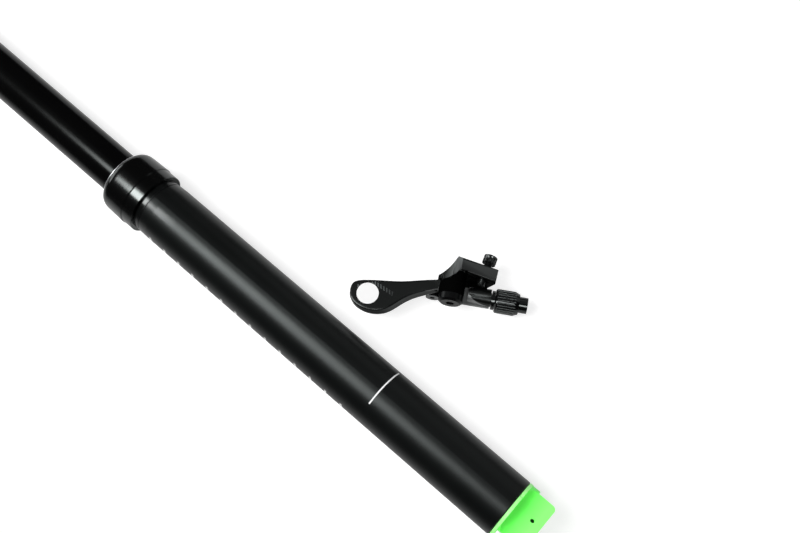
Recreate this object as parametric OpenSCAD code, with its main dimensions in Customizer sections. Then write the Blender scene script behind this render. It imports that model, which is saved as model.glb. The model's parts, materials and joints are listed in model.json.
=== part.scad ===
// Dropper seatpost with its release actuator, transport cap and bar remote.
// The post lies on its side: its axis is X, and +X points down the post.
// The origin is on the tube's axis, at the minimum-insertion line.

/* [Lower tube] */
// Outside diameter of the lower tube
tube_d = 30.9; // [30.6:0.1:34.9]
// Bore of the lower tube
tube_bore_d = 26.4; // [26:0.1:27]
// Length of the lower tube below the collar
tube_len = 234; // [222:1:300]
// Minimum insertion, from the tube's lower end to the line
min_insert = 80; // [60:1:120]
// Diameter of the thread neck inside the collar
neck_d = 29; // [28.4:0.1:29.4]
// Length of the thread neck
neck_len = 12; // [10:0.5:12]
// Diameter of the turned ring under the collar
ring_d = 30.5; // [29.8:0.1:30.8]
// Length of the turned ring
ring_len = 3; // [2:0.1:4]
// Length from the collar to the tube's full diameter
ring_taper_len = 9; // [7:0.5:14]
// Width and depth of the fine groove under the ring
groove = 0.4; // [0.2:0.05:0.5]
// Gap between the ring and the collar
collar_gap = 0.2; // [0.1:0.1:1.2]
// Diameter of the anti-turn keys
key_d = 4; // [3:0.1:4.2]
// Length of the keys
key_len = 12; // [8:0.5:16]
// Number of keys
key_count = 3; // [2:1:4]

/* [Collar] */
// Height of the collar
collar_h = 22.2; // [21:0.1:28]
// Diameter of the collar under its rounded shoulder
collar_d = 34.4; // [33:0.1:36]
// Diameter of the collar's upper part where it widens to meet the band
collar_flare_d = 35.1; // [34.4:0.1:38]
// Diameter of the collar's lower band
collar_band_d = 34.3; // [33.6:0.1:38]
// Height of the lower band
collar_band_h = 6.5; // [4:0.1:9]
// Width of the collar's lip round the wiper seal
collar_lip = 0.87; // [0.6:0.01:1.6]
// Height of the rounded shoulder
collar_shoulder_h = 4.6; // [2:0.1:6]
// Outside diameter of the wiper seal
wiper_d = 27; // [26:0.1:27.4]
// Depth of the wiper seal
wiper_h = 8; // [5:0.5:9]
// How far the wiper's lip stands out
wiper_lip = 0.9; // [0.3:0.1:1.4]

/* [Stanchion] */
// Outside diameter of the stanchion
stanchion_d = 23; // [22.4:0.1:23.4]
// Wall of the stanchion
stanchion_wall = 2.2; // [1.9:0.1:2.4]
// Saddle drop
travel = 150; // [100:5:160]
// Gap that is left between the collar and the head at full drop
head_gap = 2; // [1:0.5:6]
// Length of the upper bushing
upper_bush_len = 20; // [12:1:22]
// Length of the lower bushing
lower_bush_len = 10; // [6:0.5:14]
// Depth of the lower bushing's seat in the stanchion
bush_seat = 0.7; // [0.4:0.1:0.9]

/* [Cartridge] */
// Outside diameter of the cylinder
cart_d = 15; // [14:0.1:17]
// Bore of the cylinder
cart_bore_d = 12; // [11:0.1:12.6]
// Rod diameter
rod_d = 8; // [7:0.1:9]
// Release pin diameter
pin_d = 3; // [2:0.1:3.4]
// Length of the seal head
seal_head_len = 8; // [5:0.5:12]
// Length of the piston
piston_len = 10; // [6:0.5:14]
// Height of the cylinder's top cap
top_cap_h = 9; // [6:0.5:12]
// Height of the retaining ring
retainer_h = 4; // [3:0.5:6]

/* [Foot and actuator] */
// Height of the foot plug
plug_h = 12; // [8:0.5:16]
// Height of the bump ring
bump_h = 1.5; // [1:0.1:3]
// Width of the rod nut across its flats
nut_af = 13; // [12:0.5:14]
// Height of the rod nut
nut_h = 3; // [2:0.1:4]
// Thickness of the bracket's base
bracket_base_h = 2.4; // [1.5:0.1:3]
// Thickness of each bracket ear
ear_t = 2.2; // [1.5:0.1:2.6]
// Width of the actuator lever
lever_w = 6; // [4:0.1:6.6]
// Distance of the lever's pivot from the post's axis
pivot_off = 3; // [2.6:0.1:4]
// Distance of the cable from the post's axis
cable_off = 8.3; // [7.8:0.1:8.6]
// Drop of the lever's pivot below the tube
pivot_drop = 4; // [3.6:0.1:5]
// Diameter of the lever's pivot pin
pivot_d = 3; // [2:0.1:3.4]
// Diameter of the cable barrel
barrel_d = 4; // [3:0.1:4.4]
// Diameter of the cable housing
housing_d = 5; // [4:0.1:5.2]
// Length of the housing seat
housing_seat = 3; // [2:0.1:3.4]
// Reach of the bracket below the tube
bracket_reach = 14.4; // [13.6:0.1:16]

/* [Transport cap] */
// Thickness of the cap's flange
flange_t = 1.6; // [1:0.1:2.4]
// Length of the cap's spigot in the tube
spigot_len = 3.4; // [2:0.1:6]
// Wall of the spigot
spigot_wall = 0.9; // [0.7:0.1:1]
// Length of the pull tongue
tongue_len = 14.8; // [10:0.1:30]
// Width of the pull tongue
tongue_w = 24.8; // [20:0.1:25]
// Height of the tongue's upper face over the axis
tongue_z = 8.6; // [8:0.1:9]
// Thickness of the tongue
tongue_t = 3; // [2:0.1:3.4]
// Radius of the tongue's corners
tongue_corner = 2.2; // [1:0.1:5]
// Radius of the scoop between flange and tongue
scoop_r = 4.4; // [2:0.1:5]
// Diameter of the tongue's hole
tongue_hole_d = 2.2; // [1.5:0.1:4]
// Width of the notch in the flange
notch_w = 2; // [1:0.1:3]

/* [Saddle clamp] */
// Height from the head's underside to the clamp bolt
head_h = 30; // [28:0.5:40]
// Outside diameter of the head's socket
socket_d = 26.6; // [26:0.1:30]
// Depth of the socket
socket_depth = 16; // [12:0.5:17]
// Diameter of the head's cross boss
boss_d = 23; // [18:0.5:25]
// Width of the head's cross boss
boss_w = 20.8; // [18:0.1:24]
// Clamp bolt diameter
bolt_d = 6; // [5:0.5:8]
// Distance between the saddle rails
rail_gap = 44; // [43:0.1:46]
// Saddle rail diameter
rail_d = 7; // [6.6:0.1:8]
// Height of the rails over the clamp bolt
rail_rise = 12; // [11:0.1:16]
// Length of the clamps along the rails
clamp_len = 34.6; // [30:0.1:40]
// Height of the clamps at the rails
clamp_h = 10; // [9.6:0.1:13]
// Diameter of the clamps round the bolt
clamp_eye_d = 20; // [16:0.5:21]
// Thickness of the outer clamps
clamp_t = 6; // [5.4:0.1:9]
// Gap between the clamp halves
clamp_gap = 0.8; // [0.4:0.1:1.6]

/* [Remote] */
// Place of the remote's pivot along the post
remote_x = -7; // [-40:0.5:40]
// Place of the remote's pivot beside the post
remote_y = 60.5; // [56:0.5:100]
// Turn of the remote on the table
remote_turn = 31; // [0:1:60]
// Height of the pivot over the table
remote_pivot_h = 14; // [13.4:0.1:16]
// Upper face of the paddle over the table
paddle_top = 16.5; // [15:0.1:18]
// Reach of the paddle's thumb pad from the pivot
paddle_reach = 49.7; // [46:0.1:54]
// Thickness of the paddle
paddle_t = 4.2; // [3:0.1:6]
// Diameter of the paddle's hub
hub_d = 12.4; // [11:0.1:13]
// Width of the paddle's hub
hub_w = 6.2; // [5:0.1:6.4]
// Diameter of the pivot bolt's shank
remote_pin_d = 6; // [4:0.1:6.4]
// Diameter of the pivot bolt's head
remote_head_d = 12.4; // [10:0.1:14]
// Height of the pivot bolt's head
remote_head_h = 4.1; // [2:0.1:5]
// Wall of the paddle's bearing
bearing_wall = 1.2; // [0.8:0.1:1.5]
// Place of the cable anchor from the pivot
anchor_x = -9.3; // [-11:0.1:-9]
// Height of the cable anchor over the table
anchor_h = 7; // [6:0.1:7.4]
// Diameter of the anchor's head
anchor_d = 7; // [5:0.1:7.4]
// Height of the anchor's head
anchor_head_h = 2.2; // [1.5:0.1:2.4]
// Height of the mount block
block_h = 20; // [18:0.1:24]
// Length of the block's mount plate
plate_len = 21; // [18:0.1:24]
// Thickness of the mount plate
plate_t = 5.6; // [4:0.1:6]
// Radius of the block's hollow flank
flank_r = 27.5; // [24:0.5:40]
// Radius of the slope on the block's top
slope_r = 14; // [12:0.5:20]
// Diameter of the boss that holds the pivot bolt
boss_pin_d = 10.4; // [9:0.1:12]
// Diameter of the mount bolt
mount_bolt_d = 4; // [3:0.1:5]
// Diameter of the mount bolt's head
mount_head_d = 7; // [5.5:0.1:8.5]
// Length of the mount bolt's head
mount_head_h = 4; // [3:0.1:5]
// Free length of the mount bolt
mount_free = 3.9; // [2:0.1:8]
// Height of the cable's line over the table
cable_h = 6.6; // [6.2:0.1:7]
// Distance of the cable's line from the pivot bolt's face
cable_y = 6.7; // [6:0.1:7]
// End of the body's arm
arm_end = 20.2; // [20:0.1:30]
// Diameter of the arm's end
arm_d = 7.2; // [7:0.1:8.4]
// Diameter of the ridge behind the arm
ridge_d = 7; // [5:0.1:7.6]
// Diameter of the adjuster's lock ring
lock_d = 9.8; // [8.4:0.1:10.4]
// Width of the adjuster's lock ring
lock_w = 1.6; // [1:0.1:3]
// Diameter of the barrel adjuster at its thick end
adjuster_d = 12.4; // [11.4:0.1:13]
// Diameter of the barrel adjuster at its thin end
adjuster_end_d = 10.4; // [9.4:0.1:11]
// Length of the barrel adjuster
adjuster_len = 12.2; // [9:0.1:20]
// Diameter of the adjuster's stem
stem_d = 5; // [4:0.1:5.6]
// Number of flutes round the adjuster
flutes = 28; // [14:1:32]
// Diameter of the ferrule
ferrule_d = 8.2; // [7:0.1:9]
// Length of the ferrule
ferrule_len = 4.2; // [3:0.1:10]

/* [Clearances] */
// Radial clearance of a running fit
run_fit = 0.05; // [0.02:0.01:0.1]
// Radial clearance between pieces that are screwed or pressed together
seat_fit = 0.03; // [0.01:0.01:0.06]
// Free gap between pieces that move past each other
free_gap = 0.4; // [0.3:0.05:0.5]

/* [Hidden] */
$fn = 64;

// Colours
matte_black = [0.07, 0.07, 0.075];
gloss_black = [0.03, 0.03, 0.035];
seal_grey = [0.12, 0.12, 0.12];
bush_grey = [0.3, 0.31, 0.32];
bare_alloy = [0.72, 0.73, 0.75];
steel_grey = [0.55, 0.56, 0.58];
key_brass = [0.78, 0.6, 0.25];
cap_green = [0.42, 0.98, 0.36];

// Radii of the post
tube_r = tube_d / 2;
bore_r = tube_bore_d / 2;
neck_r = neck_d / 2;
ring_r = ring_d / 2;
stanchion_r = stanchion_d / 2;
stanchion_in_r = stanchion_r - stanchion_wall;
tube_chamfer = 0.5;

// Levels along the upright post, from the minimum-insertion line
tube_end_z = -min_insert;
collar_z = tube_len - min_insert;
collar_top_z = collar_z + collar_h;
neck_top_z = collar_z + neck_len;
head_z = collar_top_z + travel + head_gap;
stanchion_top_z = head_z + socket_depth;
plug_z = tube_end_z + spigot_len + 0.6;
plug_top_z = plug_z + plug_h;
bump_top_z = plug_top_z + bump_h;
stanchion_z = bump_top_z + 0.5 + travel;
bush_top_z = stanchion_z + 1 + lower_bush_len;
key_z = bush_top_z + 2;
upper_bush_z = collar_z + neck_len - 2 - upper_bush_len;

// Keys sit half in the stanchion's wall and half in the tube's
key_reach = (stanchion_r + tube_r) / 2 - 1.1;

// Collar
collar_in_r = neck_r + seat_fit;
wiper_z = collar_top_z - wiper_h;

// Cartridge levels
cart_z = stanchion_z + retainer_h + 0.1;
cart_top_z = stanchion_top_z - top_cap_h - 1;
piston_z = cart_z + seal_head_len + 2;
rod_z = plug_z + 0.2;
pin_bore_top_z = piston_z - 2;

// Actuator places in the upright post: x towards the front, z up
ear_in = lever_w / 2 + free_gap;
ear_out = ear_in + ear_t;
pivot_z = tube_end_z - pivot_drop;
cam_r = 1.5;
pin_gap = 0.2;
cam_z = tube_end_z - pin_gap - cam_r;
tail_r = barrel_d / 2 + 1.2;
actuator_r = bore_r - 2 * run_fit - spigot_wall - free_gap;
bracket_z = tube_end_z - bracket_reach;
bracket_base_z = plug_z - 0.05 - bracket_base_h;
stop_h = housing_seat + 1;
housing_r = housing_d / 2 + run_fit;

// Cap
flange_z = tube_end_z - 0.1;
spigot_r = bore_r - 2 * run_fit;
tongue_end_z = flange_z - flange_t - tongue_len;
tongue_half_w = tongue_w / 2;
tongue_shift = 0.3;

// Saddle clamp
bolt_z = head_z + head_h;
bolt_r = bolt_d / 2;
rail_y = rail_gap / 2;
cradle_y = boss_w / 2 + 0.3;
clamp_out_y = rail_y + clamp_gap / 2 + clamp_t;
bolt_head_r = bolt_d * 0.8;

// The post rests on its collar
table_z = -max(collar_band_d, collar_flare_d, collar_d) / 2;

// Remote: its pivot is at x = 0, and y runs from the viewer's side to the mount's side
hub_y = 3.2;
hub_end_y = hub_y + hub_w;
block_y = hub_end_y + free_gap;
bolt_face_y = hub_y - 0.3 - remote_head_h;
pin_r = remote_pin_d / 2;
bearing_r = pin_r + run_fit + bearing_wall;
block_turn = -10.5;
plate_corner = [0.6, 22.2];
plate_along = [cos(block_turn), sin(block_turn)];
plate_out = [-sin(block_turn), cos(block_turn)];
mount_bolt_u = plate_len * 0.71;
mount_bolt_h = block_h * 0.65;
lug_y = cable_y - 1.9;
stem_r = stem_d / 2;
lock_x = arm_end + 0.2;
adjuster_x = lock_x + lock_w + 0.2;
ferrule_x = adjuster_x + adjuster_len + 0.1;
ferrule_spigot_r = housing_r + 0.45;
stem_len = arm_end * 0.42;

// Lays the upright post down: its top towards -X, its front up
module lay() {
  rotate([0, -90, 0]) children();
}

// Puts the remote on the table beside the post
module beside() {
  translate([remote_x, remote_y, table_z]) rotate([0, 0, remote_turn]) children();
}

// A ring round the upright axis, from z0 to z1
module ring(r_out, r_in, z0, z1) {
  translate([0, 0, z0]) rotate_extrude() translate([r_in, 0]) square([r_out - r_in, z1 - z0]);
}

// A round bar round the upright axis, from z0 to z1
module bar(r, z0, z1) {
  translate([0, 0, z0]) cylinder(r = r, h = z1 - z0);
}

// A round bar across the post at (x, z), from y0 to y1
module cross_bar(x, z, r, y0, y1) {
  translate([x, y0, z]) rotate([-90, 0, 0]) cylinder(r = r, h = y1 - y0);
}

// A side profile, drawn in x and z, given its width from y0 to y1
module slab(y0, y1) {
  translate([0, y1, 0]) rotate([90, 0, 0]) linear_extrude(y1 - y0) children();
}

// A flat link between two round ends
module link(a, ra, b, rb) {
  hull() {
    translate(a) circle(r = ra, $fn = 32);
    translate(b) circle(r = rb, $fn = 32);
  }
}

// Copies its child round the upright axis, once for each key
module each_key() {
  for (i = [0:key_count - 1]) rotate([0, 0, 60 + i * 360 / key_count])
    translate([key_reach, 0, 0]) children();
}

module lower_tube() {
  taper_z = collar_z - ring_taper_len;
  groove_z = collar_z - collar_gap - ring_len;
  color(matte_black) lay() difference() {
    rotate_extrude($fn = 96) polygon([
      [bore_r, tube_end_z], [tube_r - tube_chamfer, tube_end_z], [tube_r, tube_end_z + tube_chamfer],
      [tube_r, taper_z], [ring_r, groove_z - groove], [ring_r - groove, groove_z - groove],
      [ring_r - groove, groove_z], [ring_r, groove_z], [ring_r, collar_z - collar_gap],
      [neck_r, collar_z - collar_gap], [neck_r, neck_top_z], [bore_r, neck_top_z]]);
    each_key() bar(key_d / 2 + run_fit, plug_top_z, upper_bush_z - 1);
  }
}

module seal_collar() {
  steps = 8;
  shoulder_z = collar_top_z - collar_shoulder_h;
  band_r = collar_band_d / 2;
  edge = 0.15;
  flare_edge = 0.5;
  mouth_r = wiper_d / 2 + seat_fit;
  lip_r = mouth_r + collar_lip;
  shoulder_w = collar_d / 2 - lip_r;
  shoulder = [for (i = [0:steps]) let (a = 90 * i / steps)
    [lip_r + shoulder_w * cos(a), shoulder_z + collar_shoulder_h * sin(a)]];
  color(gloss_black) lay() rotate_extrude($fn = 96) polygon(concat(
    [[collar_in_r, collar_z], [band_r - edge, collar_z], [band_r, collar_z + edge],
      [band_r, collar_z + collar_band_h], [collar_flare_d / 2, collar_z + collar_band_h + flare_edge]],
    shoulder,
    [[mouth_r, collar_top_z], [mouth_r, neck_top_z + 0.2], [collar_in_r, neck_top_z + 0.2]]));
}

module wiper_seal() {
  lip_r = stanchion_r + run_fit;
  seal_r = wiper_d / 2;
  color(seal_grey) lay() rotate_extrude() polygon([
    [lip_r, wiper_z + 2], [lip_r + 0.8, wiper_z], [seal_r, wiper_z], [seal_r, collar_top_z],
    [lip_r + 1, collar_top_z], [lip_r + 0.3, collar_top_z + wiper_lip],
    [lip_r, collar_top_z + wiper_lip]]);
}

module upper_bushing() {
  color(bush_grey) lay()
    ring(bore_r - seat_fit, stanchion_r + run_fit, upper_bush_z, upper_bush_z + upper_bush_len);
}

module stanchion() {
  seat_r = stanchion_r - bush_seat;
  color(gloss_black) lay() difference() {
    ring(stanchion_r, stanchion_in_r, stanchion_z, stanchion_top_z);
    ring(stanchion_r + 1, seat_r, stanchion_z + 1, bush_top_z);
    each_key() bar(key_d / 2 + seat_fit, key_z, key_z + key_len);
  }
}

module lower_bushing() {
  color(bush_grey) lay() ring(bore_r - run_fit, stanchion_r - bush_seat + seat_fit,
    stanchion_z + 1 + seat_fit, bush_top_z - seat_fit);
}

module key_pins() {
  color(key_brass) lay() each_key() bar(key_d / 2, key_z + seat_fit, key_z + key_len - seat_fit);
}

module cartridge_cylinder() {
  end_wall = 6;
  color(bare_alloy) lay() difference() {
    bar(cart_d / 2, cart_z, cart_top_z);
    bar(cart_bore_d / 2, cart_z - 1, cart_top_z - end_wall);
  }
}

module cartridge_seal_head() {
  color(seal_grey) lay() ring(cart_bore_d / 2 - seat_fit, rod_d / 2 + run_fit,
    cart_z, cart_z + seal_head_len);
}

module cartridge_retainer() {
  color(steel_grey) lay()
    ring(stanchion_in_r - seat_fit, rod_d / 2 + 1, stanchion_z, stanchion_z + retainer_h);
}

module cartridge_top_cap() {
  color(bare_alloy) lay()
    bar(stanchion_in_r - seat_fit, cart_top_z + 0.05, cart_top_z + top_cap_h);
}

module cartridge_rod() {
  color(steel_grey) lay() difference() {
    bar(rod_d / 2, rod_z, piston_z + piston_len - 0.5);
    bar(pin_d / 2 + run_fit, rod_z - 1, pin_bore_top_z);
  }
}

module cartridge_piston() {
  color(seal_grey) lay() ring(cart_bore_d / 2 - run_fit, rod_d / 2 + seat_fit,
    piston_z, piston_z + piston_len);
}

module release_pin() {
  color(steel_grey) lay() bar(pin_d / 2, tube_end_z, pin_bore_top_z - 2);
}

module foot_plug() {
  nut_room = nut_af * 0.62;
  color(bare_alloy) lay() difference() {
    ring(bore_r - seat_fit, rod_d / 2 + seat_fit, plug_z, plug_top_z);
    bar(nut_room, plug_z - 1, plug_z + nut_h + 0.2);
  }
}

module bump_ring() {
  color(seal_grey) lay() ring(stanchion_r, rod_d / 2 + free_gap, plug_top_z + 0.02, bump_top_z);
}

module rod_nut() {
  color(steel_grey) lay() difference() {
    translate([0, 0, plug_z + 0.15]) cylinder(d = nut_af / cos(30), h = nut_h, $fn = 6);
    bar(rod_d / 2 + seat_fit, plug_z - 1, plug_z + nut_h + 1);
  }
}

module actuator_bracket() {
  arm_front = -cable_off + housing_r + 0.8;
  ear_front = -pivot_off + pivot_d / 2 + 1.6;
  color(matte_black) lay() difference() {
    union() {
      bar(actuator_r, bracket_base_z, bracket_base_z + bracket_base_h);
      intersection() {
        bar(actuator_r, bracket_z, bracket_base_z + 1);
        union() {
          for (side = [-1, 1]) slab(min(side * ear_in, side * ear_out), max(side * ear_in, side * ear_out)) {
            translate([-bore_r, bracket_z]) square([bore_r + arm_front, bracket_base_z - bracket_z + 1]);
            translate([-bore_r, pivot_z - pivot_d / 2 - 1.6])
              square([bore_r + ear_front, bracket_base_z - pivot_z + pivot_d / 2 + 2.6]);
          }
          slab(-ear_out, ear_out) translate([-bore_r, bracket_z]) square([bore_r + arm_front, stop_h]);
        }
      }
    }
    bar(rod_d / 2 + 1, bracket_base_z - 1, plug_z + 1);
    cross_bar(-pivot_off, pivot_z, pivot_d / 2 + seat_fit, -bore_r, bore_r);
    translate([-cable_off, 0, 0]) bar(housing_r, bracket_z - 1, bracket_z + housing_seat);
    translate([-cable_off, 0, 0]) bar(housing_r * 0.5, bracket_z, bracket_z + stop_h + 1);
  }
}

module actuator_pin() {
  color(steel_grey) lay() cross_bar(-pivot_off, pivot_z, pivot_d / 2, -ear_out - 0.3, ear_out + 0.3);
}

module actuator_lever() {
  hub_r = pivot_d / 2 + 1.4;
  color(steel_grey) lay() difference() {
    slab(-lever_w / 2, lever_w / 2) {
      link([-pivot_off, pivot_z], hub_r, [-cable_off, pivot_z], tail_r);
      link([-pivot_off, pivot_z], cam_r, [0, cam_z], cam_r);
    }
    cross_bar(-pivot_off, pivot_z, pivot_d / 2 + run_fit, -bore_r, bore_r);
    cross_bar(-cable_off, pivot_z, barrel_d / 2 + seat_fit, -bore_r, bore_r);
    translate([-cable_off, 0, 0]) bar(0.9, pivot_z - 2 * tail_r, pivot_z);
  }
}

module cable_barrel() {
  color(key_brass) lay() difference() {
    cross_bar(-cable_off, pivot_z, barrel_d / 2, -lever_w / 2, lever_w / 2);
    translate([-cable_off, 0, 0]) bar(0.9, pivot_z - barrel_d, pivot_z + barrel_d);
  }
}

// Plan of the cap's tongue, drawn in x and y of the laid post
module tongue_plan() {
  root_x = -flange_z + flange_t - 0.2;
  end_x = -tongue_end_z;
  difference() {
    union() {
      translate([root_x, -tongue_half_w]) square([end_x - tongue_corner - root_x, 2 * tongue_half_w]);
      translate([root_x, tongue_corner - tongue_half_w])
        square([end_x - root_x, 2 * (tongue_half_w - tongue_corner)]);
      for (side = [-1, 1]) translate([end_x - tongue_corner, side * (tongue_half_w - tongue_corner)])
        circle(r = tongue_corner);
    }
    translate([end_x - tongue_len * 0.35, tongue_hole_d * 0.45]) circle(d = tongue_hole_d);
  }
}

module transport_cap() {
  web_x = tongue_z - tongue_t;
  scoop_z = flange_z - flange_t - scoop_r;
  web_step = 0.05;
  color(cap_green) lay() difference() {
    union() {
      ring(tube_r, spigot_r - spigot_wall, flange_z - flange_t, flange_z);
      ring(spigot_r, spigot_r - spigot_wall, flange_z - 0.1, flange_z + spigot_len);
      intersection() {
        bar(tube_r - web_step, scoop_z, flange_z - web_step);
        slab(tongue_shift - tongue_half_w + web_step, tube_r) difference() {
          translate([web_x, scoop_z]) square([tube_r, flange_t + scoop_r]);
          translate([tongue_z + scoop_r, scoop_z]) circle(r = scoop_r);
          translate([tongue_z + scoop_r, scoop_z - scoop_r]) square([tube_r, 2 * scoop_r]);
        }
      }
      translate([web_x, tongue_shift, 0]) rotate([0, 90, 0]) linear_extrude(tongue_t) tongue_plan();
    }
    translate([tube_r - 2.4, notch_w * 2.4, flange_z - flange_t - 0.5]) cube([4, notch_w, flange_t + 1]);
  }
}

module saddle_head() {
  socket_r = socket_d / 2;
  flat_z = bolt_z - clamp_eye_d / 2 - 2;
  edge = 0.8;
  color(matte_black) lay() difference() {
    union() {
      rotate_extrude() polygon([[0, head_z], [socket_r - edge, head_z], [socket_r, head_z + edge],
        [socket_r, flat_z - edge], [socket_r - edge, flat_z], [0, flat_z]]);
      intersection() {
        bar(socket_r, head_z + 2, bolt_z);
        translate([-socket_r, -boss_w / 2, head_z]) cube([2 * socket_r, boss_w, 2 * head_h]);
      }
      cross_bar(0, bolt_z, boss_d / 2, -boss_w / 2, boss_w / 2);
    }
    bar(stanchion_r + seat_fit, head_z - 1, stanchion_top_z + 0.05);
    cross_bar(0, bolt_z, bolt_r + run_fit, -boss_w, boss_w);
  }
}

// Side view of a clamp half: an eye round the bolt and a long block at the rail
module clamp_profile() {
  block_z = rail_rise - clamp_h / 2;
  translate([0, bolt_z]) {
    circle(d = clamp_eye_d);
    polygon([[-clamp_eye_d / 2, 0], [clamp_eye_d / 2, 0], [clamp_len / 2, block_z + 1.5],
      [-clamp_len / 2, block_z + 1.5]]);
    translate([-clamp_len / 2, block_z]) square([clamp_len, clamp_h]);
  }
}

// A clamp half between y0 and y1, with its half of the rail's seat
module clamp_half(side, y0, y1) {
  mirror([0, side > 0 ? 0 : 1, 0]) difference() {
    slab(y0, y1) clamp_profile();
    translate([-clamp_len, rail_y, bolt_z + rail_rise]) rotate([0, 90, 0])
      cylinder(d = rail_d, h = 2 * clamp_len);
    cross_bar(0, bolt_z, bolt_r + seat_fit, 0, 2 * rail_y);
  }
}

module rail_cradle_left() {
  color(matte_black) lay() clamp_half(1, cradle_y, rail_y - clamp_gap / 2);
}

module rail_cradle_right() {
  color(matte_black) lay() clamp_half(-1, cradle_y, rail_y - clamp_gap / 2);
}

module rail_clamp_left() {
  color(matte_black) lay() clamp_half(1, rail_y + clamp_gap / 2, clamp_out_y);
}

module rail_clamp_right() {
  color(matte_black) lay() clamp_half(-1, rail_y + clamp_gap / 2, clamp_out_y);
}

module clamp_bolt() {
  socket_af = bolt_d * 0.83;
  color(steel_grey) lay() difference() {
    union() {
      cross_bar(0, bolt_z, bolt_r, -clamp_out_y - bolt_d, clamp_out_y + 0.5);
      cross_bar(0, bolt_z, bolt_head_r, clamp_out_y + 0.05, clamp_out_y + bolt_d);
    }
    translate([0, clamp_out_y + bolt_d * 0.4, bolt_z]) rotate([-90, 0, 0])
      cylinder(d = socket_af / cos(30), h = bolt_d, $fn = 6);
  }
}

module clamp_nut() {
  color(steel_grey) lay() difference() {
    cross_bar(0, bolt_z, bolt_head_r, -clamp_out_y - bolt_d, -clamp_out_y - 0.05);
    cross_bar(0, bolt_z, bolt_r + seat_fit, -clamp_out_y - 2 * bolt_d, 0);
  }
}

// Puts the block's plate at its corner, turned with its mount face
module on_plate() {
  translate(plate_corner) rotate([0, 0, block_turn]) children();
}

module remote_body() {
  foot_t = 2;
  foot_y = cable_y - arm_d / 2 + 0.9;
  arm_x = hub_d / 2 + 2;
  ridge_y = cable_y + 1.8;
  plate_end = plate_corner + plate_len * plate_along;
  flank_axis = plate_corner + flank_r * [-0.902, 0.436];
  rib_tip = [-7.9, block_y + 2.2];
  end_cut = plate_end[0] - 3.8;
  color(gloss_black) beside() difference() {
    union() {
      linear_extrude(block_h) polygon([
        [rib_tip[0], block_y + 0.6], rib_tip, rib_tip + [-1, 4], plate_corner - plate_along, plate_corner,
        plate_end, plate_end - plate_t * plate_out + [0.6, -0.4], [2.3, 15.9], [0.6, 13.3], [-2.1, 11.5],
        [-5.4, block_y + 0.6]]);
      cross_bar(0, remote_pivot_h, boss_pin_d / 2, block_y, block_y + 7.4);
      translate([-4, block_y, 0]) cube([end_cut + 3.5, 7.4, foot_t + 0.6]);
      translate([arm_x, cable_y, cable_h]) rotate([0, 90, 0])
        cylinder(r1 = arm_d * 0.36, r2 = arm_d / 2, h = arm_end - arm_x);
      translate([arm_x, ridge_y, cable_h + 0.5]) rotate([0, 90, 0])
        cylinder(r1 = ridge_d * 0.42, r2 = ridge_d / 2, h = arm_end - arm_x - 0.3);
      translate([arm_x, cable_y, foot_t - 0.5])
        cube([arm_end - arm_x - 6, block_y - cable_y + 1, cable_h - foot_t]);
      translate([arm_x - 3, foot_y, 0]) cube([arm_end - arm_x + 2.6, block_y - foot_y + 1, foot_t]);
    }
    translate([flank_axis[0], flank_axis[1], -1]) cylinder(r = flank_r, h = block_h + 2, $fn = 96);
    translate([3.5 - slope_r, -1, block_h + slope_r * 0.68]) rotate([-90, 0, 0])
      cylinder(r = slope_r, h = 40, $fn = 96);
    slab(ridge_y + ridge_d / 2 + 0.2, 2 * plate_corner[1]) polygon([[end_cut, -1], [end_cut, block_h * 0.28],
      [plate_end[0] + 0.4, block_h - 3], [plate_end[0] + 9, block_h - 3], [plate_end[0] + 9, -1]]);
    on_plate() translate([mount_bolt_u, -plate_t - 4, mount_bolt_h]) rotate([-90, 0, 0])
      cylinder(d = mount_bolt_d + 2 * seat_fit, h = plate_t + 8);
    translate([0, block_y - 1, remote_pivot_h]) rotate([-90, 0, 0])
      cylinder(r = pin_r + seat_fit, h = 7.8);
    translate([arm_end - stem_len - 0.6, cable_y, cable_h]) rotate([0, 90, 0])
      cylinder(r = stem_r + run_fit, h = stem_len + 2);
    translate([0, cable_y, cable_h]) rotate([0, 90, 0]) cylinder(r = housing_r * 0.5, h = arm_end);
  }
}

module remote_mount_bolt() {
  head_v = mount_free;
  socket_af = mount_bolt_d * 0.75;
  color(steel_grey) beside() on_plate() translate([mount_bolt_u, 0, mount_bolt_h]) rotate([-90, 0, 0])
    difference() {
      union() {
        translate([0, 0, -plate_t - 3]) cylinder(d = mount_bolt_d, h = plate_t + 3 + head_v + 0.5);
        translate([0, 0, head_v]) cylinder(d = mount_head_d, h = mount_head_h);
      }
      translate([0, 0, head_v + mount_head_h * 0.4])
        cylinder(d = socket_af / cos(30), h = mount_head_h, $fn = 6);
    }
}

module remote_pivot_bolt() {
  socket_af = remote_pin_d * 0.67;
  rim = 1.2;
  color(steel_grey) beside() translate([0, 0, remote_pivot_h]) difference() {
    rotate([-90, 0, 0]) rotate_extrude() polygon([[0, bolt_face_y],
      [remote_head_d / 2 - rim, bolt_face_y], [remote_head_d / 2, bolt_face_y + rim * 0.8],
      [remote_head_d / 2, hub_y - 0.3], [pin_r, hub_y - 0.3], [pin_r, block_y + 6.6],
      [0, block_y + 6.6]]);
    translate([0, bolt_face_y - 1, 0]) rotate([-90, 0, 0])
      cylinder(d = socket_af / cos(30), h = 3.2, $fn = 6);
  }
}

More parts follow.
